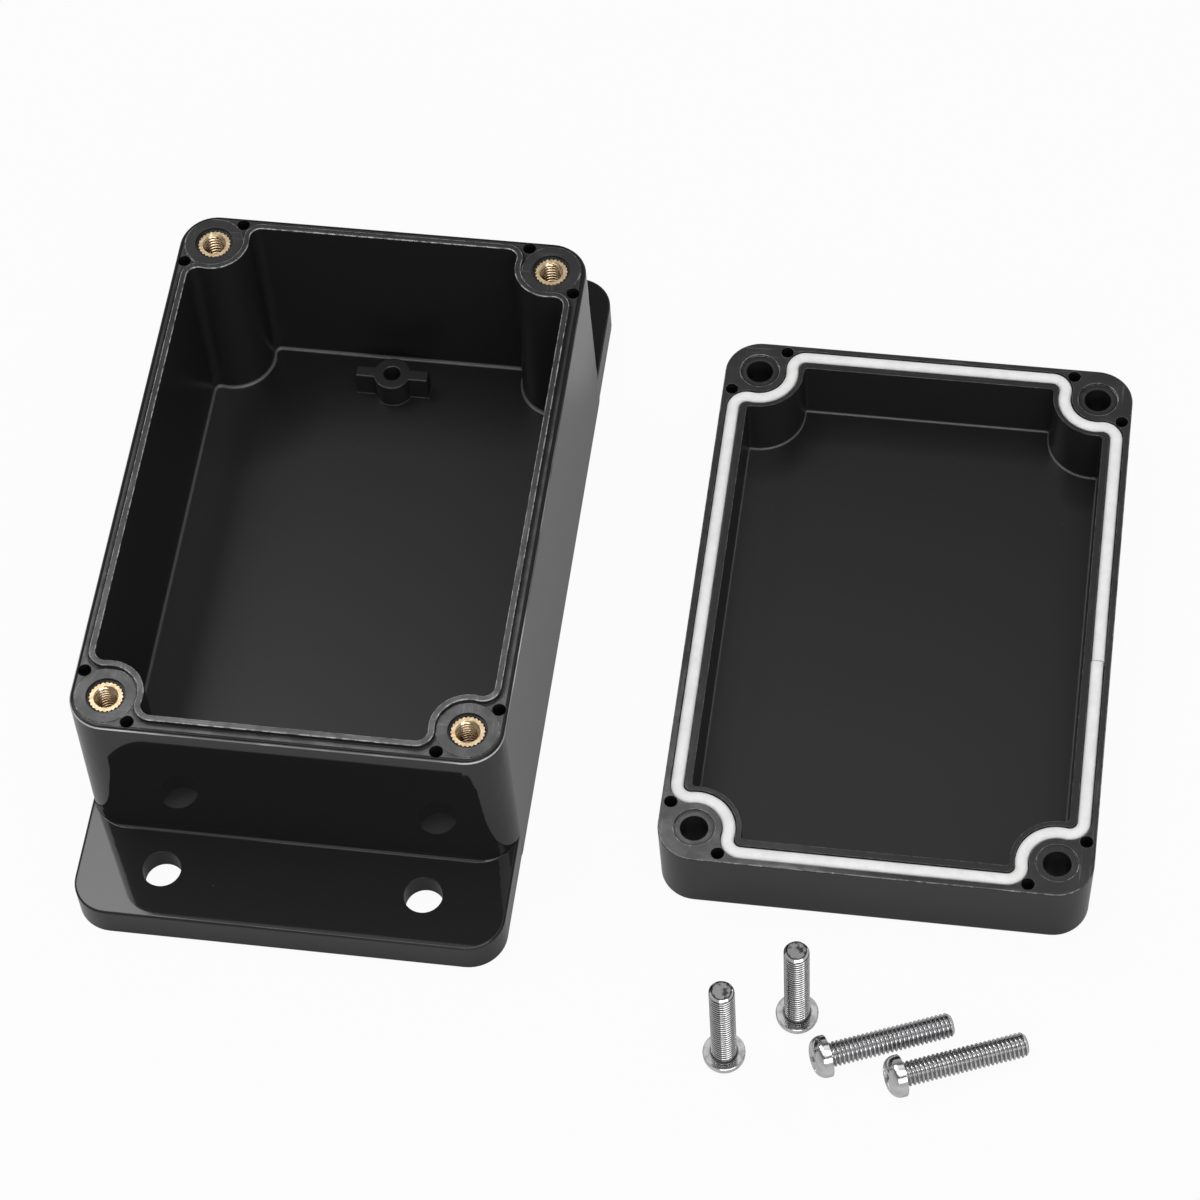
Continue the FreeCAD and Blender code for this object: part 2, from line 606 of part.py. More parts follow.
def threaded_insert(label, x_sign, y_sign):
    """Knurled brass insert: two knurled bands with a waist between them."""
    body = new_body(label)
    full, waist, bore = "Dims.insert_radius", "Dims.insert_waist_radius", "Dims.insert_bore_radius"
    mouth, edge = "Dims.insert_mouth_radius", "Dims.insert_edge"
    top = "Dims.insert_length"
    upper = "Dims.insert_length / 2 + Dims.insert_waist_width / 2"
    lower = "Dims.insert_length / 2 - Dims.insert_waist_width / 2"
    profile = new_sketch(body, f"{label}_profile", role="XZ_Plane")
    polygon(profile, [(1, bore, 1, "0"), (1, f"{full} - {edge}", 1, "0"), (1, full, 1, edge),
                      (1, full, 1, lower), (1, waist, 1, lower), (1, waist, 1, upper),
                      (1, full, 1, upper), (1, full, 1, f"{top} - {edge}"),
                      (1, f"{full} - {edge}", 1, top), (1, mouth, 1, top),
                      (1, bore, 1, f"{top} - Dims.insert_mouth_depth")])
    revolve(body, profile, f"{label}_turned")
    notch = new_sketch(body, f"{label}_notch_sketch")
    outside = f"{full} + Dims.knurl_depth"
    polygon(notch, [(1, f"{full} - Dims.knurl_depth", 1, "0"),
                    (1, outside, 1, "2 * Dims.knurl_half_width"),
                    (1, outside, -1, "2 * Dims.knurl_half_width")])
    cut = extrude(body, "Pocket", notch, f"{label}_notch", top, True)
    teeth = body.newObject("PartDesign::PolarPattern", f"{label}_knurl")
    teeth.Originals = [cut]
    teeth.Axis = (notch, ["N_Axis"])
    teeth.Angle = 360
    teeth.Occurrences = int(number("Dims.knurl_teeth"))
    teeth.setExpression("Occurrences", "Dims.knurl_teeth")
    settle(body, teeth)
    foot = f"{INSERT_TOP} - {top}"
    put_down(body, f"{x_sign} * {INSERT_X}", f"{y_sign} * {INSERT_Y}", number(foot), Rotation())
    body.setExpression("Placement.Base.z", foot)
    return body


def cross_outline(sketch, arm, width):
    """A cross about the origin: half length of its arms, and their full width."""
    half = f"{width} / 2"
    corners = []
    for x_sign, y_sign in ((1, 1), (-1, 1), (-1, -1), (1, -1)):
        points = [(x_sign, arm, y_sign, half), (x_sign, half, y_sign, half),
                  (x_sign, half, y_sign, arm)]
        corners += points if x_sign == y_sign else points[::-1]
    polygon(sketch, corners)


def lid_screw(label):
    """Pan head machine screw, standing on its crown, with a cross recess in the crown."""
    body = new_body(label)
    total = "Dims.head_height + Dims.screw_length"
    dome_end = "Dims.head_height - Dims.head_side"
    profile = new_sketch(body, f"{label}_profile", role="XZ_Plane")
    crown, side = number("Dims.crown_radius"), number("Dims.head_radius")
    rise = number(dome_end)
    # The dome is an arc that stands square to the head's straight side
    dome_radius = ((side - crown)**2 + rise**2) / (2 * (side - crown))
    centre = Vector(side - dome_radius, rise, 0)
    outline = [(1, "Dims.head_radius", 1, dome_end),
               (1, "Dims.head_radius", 1, "Dims.head_height"),
               (1, "Dims.screw_radius", 1, "Dims.head_height"),
               (1, "Dims.screw_radius", 1, f"{total} - Dims.screw_tip_chamfer"),
               (1, "Dims.screw_radius - Dims.screw_tip_chamfer", 1, total),
               (1, "0", 1, total), (1, "0", 1, "0"), (1, "Dims.crown_radius", 1, "0")]
    points = [Vector(number(x), number(y), 0) for _, x, _, y in outline]
    for start, end in zip(points, points[1:]):
        profile.addGeometry(Part.LineSegment(start, end), False)
    dome = profile.addGeometry(arc_between(centre, points[-1], points[0]), False)
    for index in range(len(points) - 2):
        profile.addConstraint(Sketcher.Constraint("Coincident", index, 2, index + 1, 1))
    profile.addConstraint(Sketcher.Constraint("Coincident", len(points) - 2, 2, dome, 1))
    profile.addConstraint(Sketcher.Constraint("Tangent", dome, 2, 0, 1))
    for index, place in enumerate(outline[:-1]):
        place_point(profile, index, 1, *place)
    place_point(profile, dome, 1, *outline[-1])
    revolve(body, profile, f"{label}_turned")
    crown_cross = new_sketch(body, f"{label}_recess_mouth")
    cross_outline(crown_cross, "Dims.recess_arm", "Dims.recess_arm_width")
    floor_cross = new_sketch(body, f"{label}_recess_floor", "Dims.recess_depth")
    cross_outline(floor_cross, "Dims.recess_floor_arm", "Dims.recess_floor_width")
    loft(body, "Subtractive", [crown_cross, floor_cross], f"{label}_recess")
    return body


inserts = [threaded_insert(f"insert_{corner}", *signs) for corner, signs in CORNERS.items()]

standing_places = {
    "lid_screw_standing_left": (STANDING_LEFT_X, STANDING_LEFT_Y),
    "lid_screw_standing_right": (STANDING_RIGHT_X, STANDING_RIGHT_Y),
}
lying_places = {
    "lid_screw_lying_left": (LYING_LEFT_X, LYING_LEFT_Y),
    "lid_screw_lying_right": (LYING_RIGHT_X, LYING_RIGHT_Y),
}

screws = []
for label, (x, y) in standing_places.items():
    screw = lid_screw(label)
    put_down(screw, x, y, 0, Rotation())
    screws.append(screw)

# A lying screw rests on its head's rim and on its tip, so it tilts a little
contact_run = number("Dims.screw_length + Dims.head_side - Dims.screw_tip_chamfer")
tilt = math.degrees(math.asin(number("Dims.head_radius - Dims.screw_radius") / contact_run))
laid = Rotation(Vector(0, 0, 1), number("Dims.lying_heading")) * Rotation(Vector(0, 1, 0), 90 + tilt)
for label, (x, y) in lying_places.items():
    screw = lid_screw(label)
    screw.Placement = Placement(Vector(), laid)
    doc.recompute()
    lift = -screw.Shape.optimalBoundingBox(False).ZMin
    put_down(screw, x, y, lift, laid)
    screws.append(screw)

doc.recompute()

parts = [base, lid, gasket] + inserts + screws
for item in doc.Objects:
    if "Invalid" in item.State or "Error" in item.State:
        raise RuntimeError(f"{item.Label} is not up to date: {item.State}")
for part in parts:
    if part.Shape.isNull() or not part.Shape.isValid():
        raise RuntimeError(f"{part.Label} has no valid shape")

os.makedirs("parts", exist_ok=True)
for part in parts:
    part.Shape.exportStep(f"parts/{part.Label}.step")
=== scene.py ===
import math

import bmesh
import bpy
from mathutils import Matrix, Vector


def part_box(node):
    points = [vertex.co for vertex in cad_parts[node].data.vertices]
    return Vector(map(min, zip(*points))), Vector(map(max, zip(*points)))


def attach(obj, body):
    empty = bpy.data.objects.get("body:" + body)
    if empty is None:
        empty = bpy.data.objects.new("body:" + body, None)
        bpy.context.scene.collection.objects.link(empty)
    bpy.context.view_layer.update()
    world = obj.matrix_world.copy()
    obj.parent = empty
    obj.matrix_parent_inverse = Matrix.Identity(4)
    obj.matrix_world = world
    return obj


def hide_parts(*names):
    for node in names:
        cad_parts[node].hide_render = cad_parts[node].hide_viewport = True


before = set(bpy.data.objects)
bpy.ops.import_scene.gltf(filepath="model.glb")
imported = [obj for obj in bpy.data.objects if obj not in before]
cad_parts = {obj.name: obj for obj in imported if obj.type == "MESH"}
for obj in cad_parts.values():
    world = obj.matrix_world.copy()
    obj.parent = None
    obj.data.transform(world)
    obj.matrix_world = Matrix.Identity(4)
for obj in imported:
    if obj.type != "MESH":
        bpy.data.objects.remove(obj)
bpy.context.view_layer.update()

# The tub with its mounting plate, four screw columns, sealing lip and floor posts is one
# moulding of black ABS. Its outside comes off a polished mould and its inside off a finely
# blasted core; the rim is satin and lightly scratched, with its edges worn pale. Painted light
# lies on it too: a sheen on the rim, highlights along edges and fillets, shade at the lip's
# foot, and a floor that is paler towards the front and beside the left wall.
MM = 0.001
RIM_HALF_X = 34.0 * MM
RIM_HALF_Y = 50.0 * MM
RIM_CORNER = 6.0 * MM
LIP_HEIGHT = 0.9 * MM
LEDGE_WIDTH = 0.35 * MM
TUB_FLOOR_LEVEL = 4.5 * MM
WALL_INSIDE = 2.0 * MM
COLUMN_X = 28.25 * MM
COLUMN_Y = 44.25 * MM
COLUMN_CLEAR = 5.9 * MM
TUB_PAD_RADIUS = 4.8 * MM
TUB_SHEEN_AND_WEAR_REACH = 80 * MM
ABS_BLACK = (0.0128, 0.0128, 0.0132, 1)
ABS_BLASTED = (0.0155, 0.0155, 0.0160, 1)
ABS_FLOOR = (0.0085, 0.0085, 0.0088, 1)
# Painted light: the floor is paler towards the front and beside the left wall.
ABS_FLOOR_PAINTED_LIGHT = (0.031, 0.031, 0.0315, 1)
# Painted sheen on the rim, and painted highlights on the floor's fillet and edge.
ABS_PAINTED_SHEEN = (0.125, 0.125, 0.127, 1)
ABS_SCRATCHED = (0.22, 0.22, 0.222, 1)
# Edges worn pale, with painted highlights along them and about the insert pads.
ABS_WORN_AND_GLINT = (0.48, 0.48, 0.485, 1)
# Pale nicks and painted glints on the edges, and the painted glint on the ledge below the rim.
ABS_NICKS_AND_GLINTS = (0.60, 0.60, 0.61, 1)
DUST = (0.10, 0.10, 0.10, 1)
ABS_IOR = 1.45
GLOSS_OUTSIDE = 0.035
GLOSS_WALLS = 0.32
GLOSS_FLOOR = 0.3
GLOSS_RIM = 0.33
SCRATCHED_SHARE = 0.4
SHEEN_AND_WEAR_CORE = 0.3
FRONT_PALER = 0.18
LEFT_PALER = 0.75

# Where one look gives way to the next: lengths across the shell, then how far a face looks up,
# how sharply it bends, how shut in it is, and how high a noise stands on it.
FINE_LINE = 0.04 * MM
HAIR = 0.05 * MM
SOFT = 0.3 * MM
EDGE_SOFTNESS = 0.2 * MM
FOOT_SHADE = 0.8 * MM
FOOT_LINE = 0.32 * MM
FILLET_LOW, FILLET_HIGH = 0.06 * MM, 0.4 * MM
FLOOR_EDGE_REACH = 0.2 * MM
LEDGE_LOW, LEDGE_HIGH = -0.6 * MM, -0.4 * MM
LEDGE_GLINT = 0.17 * MM
RING_LINE = (-0.02 * MM, 0.08 * MM)
NEAR_WALL, FAR_FROM_WALL = 4 * MM, 12 * MM
RIM_TURN = 2 * MM
LEVEL_FACE = (0.9, 0.98)
RIM_FACE = (0.35, 0.75)
FILLET_FACE = (0.25, 0.9)
LEDGE_FACE = (0.1, 0.5)
EDGE_FACE = (0.2, 0.5)
TIPPED_FACE = (0.9, 0.97)
FOOT_BEND = (0.004, 0.02)
FLOOR_EDGE_BEND = (0.02, 0.1)
EDGE_BEND = (0.01, 0.06)
FOOT_SHUT_IN = (0.14, 0.30)
MOTTLED = (0.38, 0.66)
PATCHED = (0.40, 0.58)
RING_PATCHED = (0.44, 0.56)
NICK_AND_GLINT_PATCHED = (0.58, 0.66)
LEDGE_GLINT_LENGTHS = (0.42, 0.6)
SPECK_SIZE = (0.018, 0.03)
SPECK_CHOICE = (0.84, 0.86)


class Wire:
    """What a shader node puts out, written in sums and products like a number."""

    def __init__(self, finish, socket):
        self.finish = finish
        self.socket = socket

    def math(self, operation, *values):
        inputs = dict(enumerate((self,) + values))
        return self.finish.node("ShaderNodeMath", {"operation": operation}, inputs)

    def __add__(self, other):
        return self.math("ADD", other)

    __radd__ = __add__

    def __sub__(self, other):
        return self.math("SUBTRACT", other)

    def __rsub__(self, other):
        return self * -1 + other

    def __mul__(self, other):
        return self.math("MULTIPLY", other)

    __rmul__ = __mul__

    def __abs__(self):
        return self.math("ABSOLUTE")

    def max(self, other):
        return self.math("MAXIMUM", other)

    def over(self, least):
        """The same rise, but from least up to 1."""
        return least + (1 - least) * self

    def step(self, low, high):
        """0 below low, 1 above high, and a smooth rise between."""
        settings = {"interpolation_type": "SMOOTHSTEP"}
        inputs = {"Value": self, "From Min": low, "From Max": high}
        return self.finish.node("ShaderNodeMapRange", settings, inputs)

    def between(self, low, high, soft):
        """1 from low to high, with soft edges outside them."""
        return self.step(low - soft, low) * (1 - self.step(high, high + soft))

    def parts(self):
        """X, Y and Z of a vector."""
        split = self.finish.node("ShaderNodeSeparateXYZ", {}, {0: self})
        outputs = split.socket.node.outputs
        return [Wire(self.finish, socket) for socket in outputs]


class Finish:
    """The nodes of one material, or of the room's light, built up one by one."""

    def __init__(self, holder):
        holder.use_nodes = True
        self.tree = holder.node_tree
        self.shader = self.tree.nodes.get("Principled BSDF")

    def node(self, kind, settings, inputs, output=0):
        """Any node: its settings, then the values or links of its sockets."""
        made = self.tree.nodes.new(kind)
        for name, value in settings.items():
            if name == "stops":
                first, last = made.color_ramp.elements
                first.position, first.color = value[0]
                last.position, last.color = value[-1]
                for position, colour in value[1:-1]:
                    made.color_ramp.elements.new(position).color = colour
            else:
                setattr(made, name, value)
        for name, value in inputs.items():
            self.put(made.inputs[name], value)
        if output is not None:
            return Wire(self, made.outputs[output])

    def put(self, socket, value):
        if isinstance(value, Wire):
            self.tree.links.new(value.socket, socket)
        else:
            socket.default_value = value

    def surface(self, **inputs):
        for name, value in inputs.items():
            self.put(self.shader.inputs[name.replace("_", " ")], value)

    def place(self):
        return self.node("ShaderNodeTexCoord", {}, {}, "Object")

    def stretched(self, scale):
        """The place, drawn out or squeezed along each axis."""
        settings = {"operation": "MULTIPLY"}
        return self.node("ShaderNodeVectorMath", settings, {0: self.place(), 1: scale})

    def noise(self, scale, detail=2.0, rough=0.5, place=None):
        inputs = {"Vector": place or self.place(), "Scale": scale, "Detail": detail,
                  "Roughness": rough}
        return self.node("ShaderNodeTexNoise", {}, inputs)

    def blend(self, share, low, high):
        """A colour between two colours."""
        settings = {"data_type": "RGBA"}
        return self.node("ShaderNodeMix", settings, {0: share, 6: low, 7: high}, 2)

    def bump(self, height, strength, distance, below=None):
        inputs = {"Height": height, "Strength": strength, "Distance": distance}
        if below is not None:
            inputs["Normal"] = below
        return self.node("ShaderNodeBump", {}, inputs)


def distance(x, y):
    return (x * x + y * y).math("SQRT")


def outline_distance(x, y, half_x, half_y, corner):
    """Distance from a rounded rectangle about the origin, negative inside it."""
    over_x = abs(x) - (half_x - corner)
    over_y = abs(y) - (half_y - corner)
    outside = distance(over_x.max(0), over_y.max(0))
    inside = over_x.max(over_y).math("MINIMUM", 0)
    return outside + inside - corner


def scratches(finish, along_end, amount):
    """Thin marks that run along the sides of the rim, and across at its ends."""
    long_way, short_way = 60, 2600
    on_sides = finish.stretched((short_way, long_way, short_way))
    on_ends = finish.stretched((long_way, short_way, short_way))
    lines = [finish.noise(1, 3, 0.6, place) for place in (on_sides, on_ends)]
    chosen = lines[0] * (1 - along_end) + lines[1] * along_end
    return chosen.step(1 - amount, 1 - amount + 0.05)


def moulded_abs(name, middle, rim_level, floor_level, ledge_width, rim_reach, edge_level,
                ring_radius, sheen_and_wear_place, sheen_and_wear_reach, edge_wear_and_glint, strip_shade):
    """Black ABS for a shell; painted sheen makes its rim palest about one spot, where it is most
    scratched.
    """
    material = bpy.data.materials.new(name)
    finish = Finish(material)
    x, y, z = finish.place().parts()
    from_side, from_end = x - middle.x, y - middle.y
    facing = finish.node("ShaderNodeNewGeometry", {}, {}, "Normal")
    up = facing.parts()[2]
    rounded = finish.node("ShaderNodeBevel", {"samples": 4}, {"Radius": EDGE_SOFTNESS})
    settings = {"operation": "DOT_PRODUCT"}
    bend = 1 - finish.node("ShaderNodeVectorMath", settings, {0: facing, 1: rounded}, "Value")
    settings = {"samples": 4, "only_local": True}
    open_air = finish.node("ShaderNodeAmbientOcclusion", settings, {"Distance": FOOT_SHADE}, "AO")
    shut_in = 1 - open_air

    # The shell's zones: floor, its fillet, walls, outside, rim, and the ledge below the rim.
    edge = outline_distance(from_side, from_end, RIM_HALF_X, RIM_HALF_Y, RIM_CORNER)
    inside = 1 - edge.step(-WALL_INSIDE, -WALL_INSIDE + SOFT)
    above_floor = z - floor_level
    floor = inside * (1 - above_floor.step(HAIR, 2 * HAIR)) * up.step(*LEVEL_FACE)
    # The floor's fillet, which takes a painted highlight below.
    fillet = inside * above_floor.between(FILLET_LOW, FILLET_HIGH, FINE_LINE)
    fillet = fillet * up.between(*FILLET_FACE, 0.1)
    above_rim = z - rim_level
    rim = above_rim.step(-rim_reach, -rim_reach + 2 * HAIR) * up.step(*RIM_FACE)
    ledge = above_rim.between(LEDGE_LOW, LEDGE_HIGH, FINE_LINE)
    ledge = ledge * up.step(*LEDGE_FACE) * edge.step(-LEDGE_GLINT - HAIR, -LEDGE_GLINT)
    walls = inside * (1 - floor) * (1 - rim)
    outside = (1 - inside) * (1 - rim)

    # Painted shade at the lip's foot and on a line above the ledge; painted highlights along the
    # floor's edge and in a ring about each column.
    shaded_foot = 1 - above_rim.step(HAIR, 2 * HAIR)
    shaded_foot = shaded_foot * bend.step(*FOOT_BEND).max(shut_in.step(*FOOT_SHUT_IN))
    if ledge_width:
        shaded_foot = shaded_foot.max(edge.between(-ledge_width - FOOT_LINE, -ledge_width, HAIR))
    # The seam here is a painted highlight line where the floor meets the walls.
    seam = inside * bend.step(*FLOOR_EDGE_BEND) * (1 - above_floor.step(FLOOR_EDGE_REACH, 2 * FLOOR_EDGE_REACH))
    from_column = distance(abs(from_side) - COLUMN_X, abs(from_end) - COLUMN_Y)
    # Painted shade on the lid's rim beside the seal's groove, away from the columns.
    strip = rim * inside * from_column.step(COLUMN_CLEAR, COLUMN_CLEAR + SOFT) * strip_shade
    # A painted highlight ring about each insert pad.
    ring_highlight = rim * (from_column - ring_radius).between(*RING_LINE, 2 * HAIR)

    # Painted sheen and highlights, and the marks that hands and tools have left.
    away = distance(x - sheen_and_wear_place.x, y - sheen_and_wear_place.y)
    # Nearness to that spot sets the painted sheen, the painted ledge glint and how strong the
    # scratches are.
    sheen_and_wear = 1 - away.step(sheen_and_wear_reach * SHEEN_AND_WEAR_CORE, sheen_and_wear_reach)
    mottle = finish.noise(260, 6, 0.65)
    fine = finish.noise(2400, 3, 0.6)
    patches = finish.noise(700, 4, 0.7)
    lengths = finish.noise(75, 2, 0.5)
    along_end = abs(from_end) - RIM_HALF_Y - (abs(from_side) - RIM_HALF_X)
    marks = scratches(finish, along_end.step(-RIM_TURN, RIM_TURN), SCRATCHED_SHARE)
    bare = rim * (1 - shaded_foot) * (1 - strip)
    # Painted sheen on the rim.
    painted_rim_sheen = bare * sheen_and_wear.over(0.13) * mottle.step(*MOTTLED).over(0.5)
    scratched = bare * marks * mottle.step(*PATCHED) * sheen_and_wear.over(0.35)
    # Edges worn pale, with painted highlights along them; the lid's edges get less.
    worn_and_glint = bend.step(*EDGE_BEND).max(1 - up.step(*TIPPED_FACE))
    worn_and_glint = worn_and_glint * z.step(edge_level, edge_level + 2 * HAIR) * up.step(*EDGE_FACE) * edge_wear_and_glint
    ring_highlight = ring_highlight * (0.15 + 0.5 * mottle.step(*RING_PATCHED))
    worn_and_glint = worn_and_glint.max(ring_highlight) * patches.step(*PATCHED).over(0.15)
    # Pale nicks and painted glints spotted along those edges.
    nicks_and_glints = worn_and_glint * finish.noise(1500, 2, 0.7).step(*NICK_AND_GLINT_PATCHED)
    # A painted glint along the rounded ledge below the rim.
    painted_ledge_glint = ledge * sheen_and_wear.over(0.1) * lengths.step(*LEDGE_GLINT_LENGTHS).over(0.3)
    spots = {"Vector": finish.place(), "Scale": 330}
    speck = finish.node("ShaderNodeTexVoronoi", {}, spots)
    chosen = finish.node("ShaderNodeTexVoronoi", {}, spots, "Color").parts()[0]
    dusty = (1 - speck.step(*SPECK_SIZE)) * chosen.step(*SPECK_CHOICE) * (1 - rim)

    # Painted light: the floor is paler towards the front and beside the left wall.
    near = 1 - (from_end + 6 * mottle * MM).step(-RIM_HALF_Y, RIM_HALF_Y)
    beside = 1 - from_side.step(NEAR_WALL - RIM_HALF_X, FAR_FROM_WALL - RIM_HALF_X)
    colour = finish.blend(walls, ABS_BLACK, ABS_BLASTED)
    colour = finish.blend(floor, colour, ABS_FLOOR)
    colour = finish.blend(
        floor * (near * FRONT_PALER + beside * LEFT_PALER), colour, ABS_FLOOR_PAINTED_LIGHT)
    # Painted sheen on the rim, and painted highlights on the floor's fillet and along its edge.
    pale = painted_rim_sheen.max(fillet * 0.8).max(seam * 0.7)
    colour = finish.blend(pale, colour, ABS_PAINTED_SHEEN)
    colour = finish.blend(scratched * 0.6, colour, ABS_SCRATCHED)
    colour = finish.blend(worn_and_glint * 0.85, colour, ABS_WORN_AND_GLINT)
    colour = finish.blend(nicks_and_glints.max(painted_ledge_glint), colour, ABS_NICKS_AND_GLINTS)
    colour = finish.blend(dusty, colour, DUST)
    polish = finish.noise(45, 3, 0.5) * 0.016 - 0.008
    gloss = outside * GLOSS_OUTSIDE + walls * GLOSS_WALLS + floor * GLOSS_FLOOR + polish
    satin = rim * (1 - shaded_foot) * (GLOSS_RIM - 0.05 + 0.1 * mottle)
    waves = finish.bump(finish.noise(38, 2, 0.4), 0.1, 0.2 * MM, rounded)
    relief = fine * 0.4 + marks * 0.6
    finish.surface(
        Base_Color=colour,
        Roughness=gloss + satin + dusty * 0.4,
        Normal=finish.bump(relief * rim, 0.35, 0.02 * MM, waves),
        IOR=ABS_IOR,
    )
    return material


def wear(piece, material):
    """Give a piece one material all over."""
    piece.data.materials.clear()
    piece.data.materials.append(material)


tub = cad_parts["enclosure_base"]
tub_low, tub_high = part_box("enclosure_base")
tub_middle = (tub_low + tub_high) / 2
rim_level = tub_high.z - LIP_HEIGHT
tub_sheen_and_wear_place = tub_middle + Vector((4 * MM, -RIM_HALF_Y, 0))
wear(tub, moulded_abs(
    "black_abs_tub", tub_middle, rim_level, TUB_FLOOR_LEVEL, LEDGE_WIDTH, rim_reach=0.25 * MM,
    edge_level=rim_level + LIP_HEIGHT / 2, ring_radius=TUB_PAD_RADIUS,
    sheen_and_wear_place=tub_sheen_and_wear_place, sheen_and_wear_reach=TUB_SHEEN_AND_WEAR_REACH, edge_wear_and_glint=1.0, strip_shade=0))

# Four brass inserts are pressed into the corner columns while these are hot. Each is turned
# from bar, with two knurled bands that bite into the plastic and an M4 thread cut down its bore.
INSERT_CORNERS = ("front_left", "front_right", "rear_left", "rear_right")
KNURL_TEETH = 24
KNURL_DEPTH = 0.22 * MM
KNURL_EDGE = 0.07 * MM
INSERT_WAIST = 0.4 * MM
WAIST_HALF = 0.7 * MM
BORE_RADIUS = 1.6 * MM
MOUTH_RADIUS = 1.95 * MM
MOUTH_DEPTH = 0.35 * MM
THREAD_PITCH = 0.7 * MM
THREAD_DEPTH = 0.44 * MM
STEPS_A_TURN = 12
COLUMNS_A_TOOTH = 6
ROOT_EDGE = (0.11 * MM, 0.22 * MM)
MOUTH_EDGE = 0.03 * MM
BRASS_BRIGHT = (0.90, 0.76, 0.54, 1)
BRASS_WARM = (0.70, 0.50, 0.29, 1)
BRASS_SHADE = (0.11, 0.036, 0.014, 1)


def ridge(height, angle, pitch):
    """How far a right-hand thread's ridge stands out there, from 0 to 1."""
    return 0.5 + 0.5 * math.cos(2 * math.pi * height / pitch - angle)


def skin(name, rows, closed):
    """A mesh through rings of points; its ends are capped, or join each other."""
    shape = bmesh.new()
    rings = [[shape.verts.new(point) for point in row] for row in rows]
    pairs = list(zip(rings, rings[1:]))
    if closed:
        pairs.append((rings[-1], rings[0]))
    else:
        shape.faces.new(rings[0][::-1])
        shape.faces.new(rings[-1])
    for one, other in pairs:
        for index in range(len(one)):
            after = (index + 1) % len(one)
            shape.faces.new((one[index], one[after], other[after], other[index]))
    mesh = bpy.data.meshes.new(name)
    shape.to_mesh(mesh)
    shape.free()
    return mesh


def ring(radius_at, height, columns):
    """One ring of points about the Z axis; its radius may change with the angle."""
    points = []
    for column in range(columns):
        angle = 2 * math.pi * column / columns
        radius = radius_at(angle)
        points.append((radius * math.cos(angle), radius * math.sin(angle), height))
    return points


def plain(size):
    """A radius that stays the same all round."""
    return lambda angle: size


def smooth_by_angle(mesh, degrees):
    """Shade a mesh smooth, but keep its edges that turn by more than that."""
    mesh.shade_smooth()
    mesh.set_sharp_from_angle(angle=math.radians(degrees))


def insert_mesh(radius, length):
    """A threaded insert about the Z axis, its middle at the origin."""
    columns = KNURL_TEETH * COLUMNS_A_TOOTH
    middle = length / 2

    def knurled(size):
        def at(angle):
            phase = (angle * KNURL_TEETH / (2 * math.pi)) % 1
            return size - KNURL_DEPTH * (0.5 + 0.5 * math.cos(2 * math.pi * phase))**2
        return at

    def threaded(height):
        from_end = middle - abs(height)
        mouth = MOUTH_RADIUS - (MOUTH_RADIUS - BORE_RADIUS) * from_end / MOUTH_DEPTH
        return lambda angle: max(
            mouth, BORE_RADIUS + THREAD_DEPTH * (1 - ridge(height, angle, THREAD_PITCH)))

    edge, waist = KNURL_EDGE, INSERT_WAIST
    outside = [
        ring(knurled(radius - edge), -middle, columns),
        ring(knurled(radius), -middle + edge, columns),
        ring(knurled(radius), -WAIST_HALF - waist, columns),
        ring(plain(radius - waist), -WAIST_HALF, columns),
        ring(plain(radius - waist), WAIST_HALF, columns),
        ring(knurled(radius), WAIST_HALF + waist, columns),
        ring(knurled(radius), middle - edge, columns),
        ring(knurled(radius - edge), middle, columns),
    ]
    steps = math.ceil(length / THREAD_PITCH * STEPS_A_TURN)
    heights = [middle - length * step / steps for step in range(steps + 1)]
    inside = [ring(threaded(height), height, columns) for height in heights]
    mesh = skin("threaded_insert", outside + inside, True)
    smooth_by_angle(mesh, degrees=34)
    return mesh


def turned_brass(length):
    """Bright brass, with painted shade down the bore and in the roots of its thread."""
    material = bpy.data.materials.new("turned_brass")
    finish = Finish(material)
    x, y, z = finish.place().parts()
    radius = distance(x, y)
    bore = 1 - radius.step(MOUTH_RADIUS, MOUTH_RADIUS + MOUTH_EDGE)
    root = bore * (radius - BORE_RADIUS).step(*ROOT_EDGE)
    root = root * (1 - z.step(length / 2 - MOUTH_DEPTH, length / 2 - MOUTH_DEPTH / 2))
    depth = bore * (1 - z.step(-length / 3, length / 6))
    tone = finish.noise(1300, 3, 0.6)
    turning = finish.noise(1, 2, 0.5, finish.stretched((500, 500, 9000)))
    colour = finish.blend(tone.step(0.35, 0.7), BRASS_WARM, BRASS_BRIGHT)
    # Painted shade in the thread's roots and down the bore.
    colour = finish.blend((root * 0.9).max(depth * 0.4), colour, BRASS_SHADE)
    finish.surface(
        Base_Color=colour,
        Metallic=1.0,
        Roughness=0.16 + 0.06 * tone + 0.15 * root + 0.19 * (1 - bore),
        Normal=finish.bump(turning, 0.25, 0.008 * MM),
    )
    return material


def add_piece(name, mesh, material, node):
    """Show a mesh, centred on a node's box, in the place of that node."""
    low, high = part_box(node)
    reach = [(min(vertex.co[axis] for vertex in mesh.vertices),
              max(vertex.co[axis] for vertex in mesh.vertices)) for axis in range(3)]
    mine = Vector([(first + last) / 2 for first, last in reach])
    piece = bpy.data.objects.new(name, mesh)
    bpy.context.scene.collection.objects.link(piece)
    piece.matrix_world = Matrix.Translation((low + high) / 2 - mine)
    mesh.materials.clear()
    mesh.materials.append(material)
    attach(piece, "root")
    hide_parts(node)
    return piece


